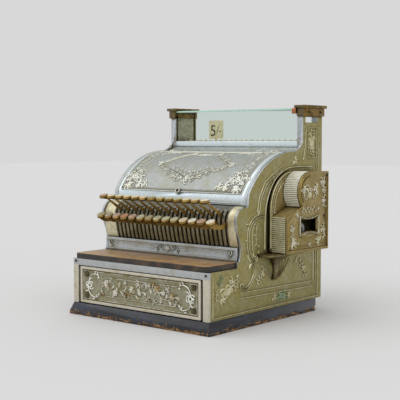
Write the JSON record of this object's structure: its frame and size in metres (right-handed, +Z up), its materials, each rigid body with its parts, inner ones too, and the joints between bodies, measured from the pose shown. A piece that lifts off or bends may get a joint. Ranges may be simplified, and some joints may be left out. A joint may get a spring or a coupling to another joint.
{
  "type": "ticket register",
  "caption": "Ornate plated counter till with a press-key keyboard, curved lid, cash drawer, glazed price window and a ticket printer on its side.",
  "frame": {"origin": "centre of the plinth's underside, on the counter it stands on", "axes": "+X to the operator's right, +Y to the back, +Z up"},
  "size_m": [0.4709, 0.4447, 0.489],
  "materials": {
    "painted_wood": "satin black paint, worn at the foot",
    "varnished_wood": "worn varnish with a dark edge",
    "drawer_wood": "planed oak",
    "deck_wood": "planed board",
    "nickel_plate": "bright nickel plate",
    "comb_plate": "satin nickel plate",
    "lid_plate": "silvered cast plate",
    "worn_plate": "nickel plate worn to yellow brass",
    "printer_brass": "yellow cast brass",
    "cap_brass": "dark aged brass",
    "drawer_plate": "cast plate with bright border",
    "glass": "clear plate glass",
    "copper": "copper",
    "lock_steel": "turned steel",
    "cast_iron": "black japanned",
    "wheel_brass": "turned brass",
    "bell_metal": "nickelled bell metal",
    "tablet_enamel": "cream enamel",
    "type_steel": "inked steel",
    "screw_steel": "blued steel",
    "key_brass": "lever of worn brass, cap of ivory-coloured composition"
  },
  "bodies": {
    "cabinet": {"bell": "bell_metal", "breast_moulding": "nickel_plate", "column_caps": "cap_brass", "counter_slab": "varnished_wood", "drawer_runners": "drawer_wood", "front_frame": "nickel_plate", "glass_clip": "copper", "key_comb": "comb_plate", "key_shaft": "lock_steel", "left_side": "worn_plate", "lid_hinge_rod": "lock_steel", "lowered_tablets": "tablet_enamel", "mechanism_deck": "deck_wood", "mechanism_frames": "cast_iron", "plinth": "painted_wood", "printer_bracket": "printer_brass", "printer_cover": "printer_brass", "printer_housing": "printer_brass", "rear_cover": "nickel_plate", "right_side": "worn_plate", "screws": "screw_steel", "tablet_guide": "cast_iron", "top_deck": "lid_plate", "top_glass": "glass", "window_glass": "glass", "window_sill": "nickel_plate"},
    "lid": {"lid": "lid_plate"},
    "lock": {"lid_lock": "lock_steel"},
    "drawer": {"drawer_front": "drawer_plate", "drawer_box": "drawer_wood"},
    "tablet": {"raised_tablet": "tablet_enamel"},
    "counter": {"counter_wheels": "wheel_brass"},
    "type_wheels": {"type_wheels": "type_steel"},
    "key_01": {"key_01": "key_brass"},
    "key_02": {"key_02": "key_brass"},
    "key_03": {"key_03": "key_brass"},
    "key_04": {"key_04": "key_brass"},
    "key_05": {"key_05": "key_brass"},
    "key_06": {"key_06": "key_brass"},
    "key_07": {"key_07": "key_brass"},
    "key_08": {"key_08": "key_brass"},
    "key_09": {"key_09": "key_brass"},
    "key_10": {"key_10": "key_brass"},
    "key_11": {"key_11": "key_brass"},
    "key_12": {"key_12": "key_brass"},
    "key_13": {"key_13": "key_brass"},
    "key_14": {"key_14": "key_brass"},
    "key_15": {"key_15": "key_brass"},
    "key_16": {"key_16": "key_brass"},
    "key_17": {"key_17": "key_brass"},
    "key_18": {"key_18": "key_brass"},
    "key_19": {"key_19": "key_brass"},
    "key_20": {"key_20": "key_brass"},
    "key_21": {"key_21": "key_brass"},
    "key_22": {"key_22": "key_brass"},
    "key_23": {"key_23": "key_brass"},
    "key_24": {"key_24": "key_brass"},
    "key_25": {"key_25": "key_brass"},
    "key_26": {"key_26": "key_brass"},
    "key_27": {"key_27": "key_brass"}
  },
  "joints": [
    {"name": "lid_hinge", "type": "hinge", "parent": "cabinet", "child": "lid", "pos_m": [0, 0.0868, 0.3735], "axis": [-1, 0, 0], "range_deg": [0, 75]},
    {"name": "lock_turn", "type": "hinge", "parent": "lid", "child": "lock", "pos_m": [0, -0.0535, 0.2895], "axis": [0, -0.866, 0.5], "range_deg": [0, 90]},
    {"name": "drawer_slide", "type": "slide", "parent": "cabinet", "child": "drawer", "axis": [0, -1, 0], "range_m": [0, 0.26]},
    {"name": "tablet_drop", "type": "slide", "parent": "cabinet", "child": "tablet", "axis": [0, 0, -1], "range_m": [0, 0.051]},
    {"name": "counter_turn", "type": "hinge", "parent": "cabinet", "child": "counter", "pos_m": [0, 0.0358, 0.3], "axis": [1, 0, 0], "continuous": true},
    {"name": "type_wheel_turn", "type": "hinge", "parent": "cabinet", "child": "type_wheels", "pos_m": [0.23, 0.0888, 0.207], "axis": [1, 0, 0], "continuous": true},
    {"name": "key_01_press", "type": "hinge", "parent": "cabinet", "child": "key_01", "pos_m": [0, 0.0578, 0.215], "axis": [1, 0, 0], "range_deg": [0, 6], "stiffness_Nm_per_rad": 1, "springref_deg": -8.59},
    {"name": "key_02_press", "type": "hinge", "parent": "cabinet", "child": "key_02", "pos_m": [0, 0.0578, 0.215], "axis": [1, 0, 0], "range_deg": [0, 6], "stiffness_Nm_per_rad": 1, "springref_deg": -8.59},
    {"name": "key_03_press", "type": "hinge", "parent": "cabinet", "child": "key_03", "pos_m": [0, 0.0578, 0.215], "axis": [1, 0, 0], "range_deg": [0, 6], "stiffness_Nm_per_rad": 1, "springref_deg": -8.59},
    {"name": "key_04_press", "type": "hinge", "parent": "cabinet", "child": "key_04", "pos_m": [0, 0.0578, 0.215], "axis": [1, 0, 0], "range_deg": [0, 6], "stiffness_Nm_per_rad": 1, "springref_deg": -8.59},
    {"name": "key_05_press", "type": "hinge", "parent": "cabinet", "child": "key_05", "pos_m": [0, 0.0578, 0.215], "axis": [1, 0, 0], "range_deg": [0, 6], "stiffness_Nm_per_rad": 1, "springref_deg": -8.59},
    {"name": "key_06_press", "type": "hinge", "parent": "cabinet", "child": "key_06", "pos_m": [0, 0.0578, 0.215], "axis": [1, 0, 0], "range_deg": [0, 6], "stiffness_Nm_per_rad": 1, "springref_deg": -8.59},
    {"name": "key_07_press", "type": "hinge", "parent": "cabinet", "child": "key_07", "pos_m": [0, 0.0578, 0.215], "axis": [1, 0, 0], "range_deg": [0, 6], "stiffness_Nm_per_rad": 1, "springref_deg": -8.59},
    {"name": "key_08_press", "type": "hinge", "parent": "cabinet", "child": "key_08", "pos_m": [0, 0.0578, 0.215], "axis": [1, 0, 0], "range_deg": [0, 6], "stiffness_Nm_per_rad": 1, "springref_deg": -8.59},
    {"name": "key_09_press", "type": "hinge", "parent": "cabinet", "child": "key_09", "pos_m": [0, 0.0578, 0.215], "axis": [1, 0, 0], "range_deg": [0, 6], "stiffness_Nm_per_rad": 1, "springref_deg": -8.59},
    {"name": "key_10_press", "type": "hinge", "parent": "cabinet", "child": "key_10", "pos_m": [0, 0.0578, 0.215], "axis": [1, 0, 0], "range_deg": [0, 6], "stiffness_Nm_per_rad": 1, "springref_deg": -8.59},
    {"name": "key_11_press", "type": "hinge", "parent": "cabinet", "child": "key_11", "pos_m": [0, 0.0578, 0.215], "axis": [1, 0, 0], "range_deg": [0, 6], "stiffness_Nm_per_rad": 1, "springref_deg": -8.59},
    {"name": "key_12_press", "type": "hinge", "parent": "cabinet", "child": "key_12", "pos_m": [0, 0.0578, 0.215], "axis": [1, 0, 0], "range_deg": [0, 6], "stiffness_Nm_per_rad": 1, "springref_deg": -8.59},
    {"name": "key_13_press", "type": "hinge", "parent": "cabinet", "child": "key_13", "pos_m": [0, 0.0578, 0.215], "axis": [1, 0, 0], "range_deg": [0, 6], "stiffness_Nm_per_rad": 1, "springref_deg": -8.59},
    {"name": "key_14_press", "type": "hinge", "parent": "cabinet", "child": "key_14", "pos_m": [0, 0.0578, 0.215], "axis": [1, 0, 0], "range_deg": [0, 6], "stiffness_Nm_per_rad": 1, "springref_deg": -8.59},
    {"name": "key_15_press", "type": "hinge", "parent": "cabinet", "child": "key_15", "pos_m": [0, 0.0578, 0.215], "axis": [1, 0, 0], "range_deg": [0, 6], "stiffness_Nm_per_rad": 1, "springref_deg": -8.59},
    {"name": "key_16_press", "type": "hinge", "parent": "cabinet", "child": "key_16", "pos_m": [0, 0.0578, 0.215], "axis": [1, 0, 0], "range_deg": [0, 6], "stiffness_Nm_per_rad": 1, "springref_deg": -8.59},
    {"name": "key_17_press", "type": "hinge", "parent": "cabinet", "child": "key_17", "pos_m": [0, 0.0578, 0.215], "axis": [1, 0, 0], "range_deg": [0, 6], "stiffness_Nm_per_rad": 1, "springref_deg": -8.59},
    {"name": "key_18_press", "type": "hinge", "parent": "cabinet", "child": "key_18", "pos_m": [0, 0.0578, 0.215], "axis": [1, 0, 0], "range_deg": [0, 6], "stiffness_Nm_per_rad": 1, "springref_deg": -8.59},
    {"name": "key_19_press", "type": "hinge", "parent": "cabinet", "child": "key_19", "pos_m": [0, 0.0578, 0.215], "axis": [1, 0, 0], "range_deg": [0, 6], "stiffness_Nm_per_rad": 1, "springref_deg": -8.59},
    {"name": "key_20_press", "type": "hinge", "parent": "cabinet", "child": "key_20", "pos_m": [0, 0.0578, 0.215], "axis": [1, 0, 0], "range_deg": [0, 6], "stiffness_Nm_per_rad": 1, "springref_deg": -8.59},
    {"name": "key_21_press", "type": "hinge", "parent": "cabinet", "child": "key_21", "pos_m": [0, 0.0578, 0.215], "axis": [1, 0, 0], "range_deg": [0, 6], "stiffness_Nm_per_rad": 1, "springref_deg": -8.59},
    {"name": "key_22_press", "type": "hinge", "parent": "cabinet", "child": "key_22", "pos_m": [0, 0.0578, 0.215], "axis": [1, 0, 0], "range_deg": [0, 6], "stiffness_Nm_per_rad": 1, "springref_deg": -8.59},
    {"name": "key_23_press", "type": "hinge", "parent": "cabinet", "child": "key_23", "pos_m": [0, 0.0578, 0.215], "axis": [1, 0, 0], "range_deg": [0, 6], "stiffness_Nm_per_rad": 1, "springref_deg": -8.59},
    {"name": "key_24_press", "type": "hinge", "parent": "cabinet", "child": "key_24", "pos_m": [0, 0.0578, 0.215], "axis": [1, 0, 0], "range_deg": [0, 6], "stiffness_Nm_per_rad": 1, "springref_deg": -8.59},
    {"name": "key_25_press", "type": "hinge", "parent": "cabinet", "child": "key_25", "pos_m": [0, 0.0578, 0.215], "axis": [1, 0, 0], "range_deg": [0, 6], "stiffness_Nm_per_rad": 1, "springref_deg": -8.59},
    {"name": "key_26_press", "type": "hinge", "parent": "cabinet", "child": "key_26", "pos_m": [0, 0.0578, 0.215], "axis": [1, 0, 0], "range_deg": [0, 6], "stiffness_Nm_per_rad": 1, "springref_deg": -8.59},
    {"name": "key_27_press", "type": "hinge", "parent": "cabinet", "child": "key_27", "pos_m": [0, 0.0578, 0.215], "axis": [1, 0, 0], "range_deg": [0, 6], "stiffness_Nm_per_rad": 1, "springref_deg": -8.59}
  ]
}
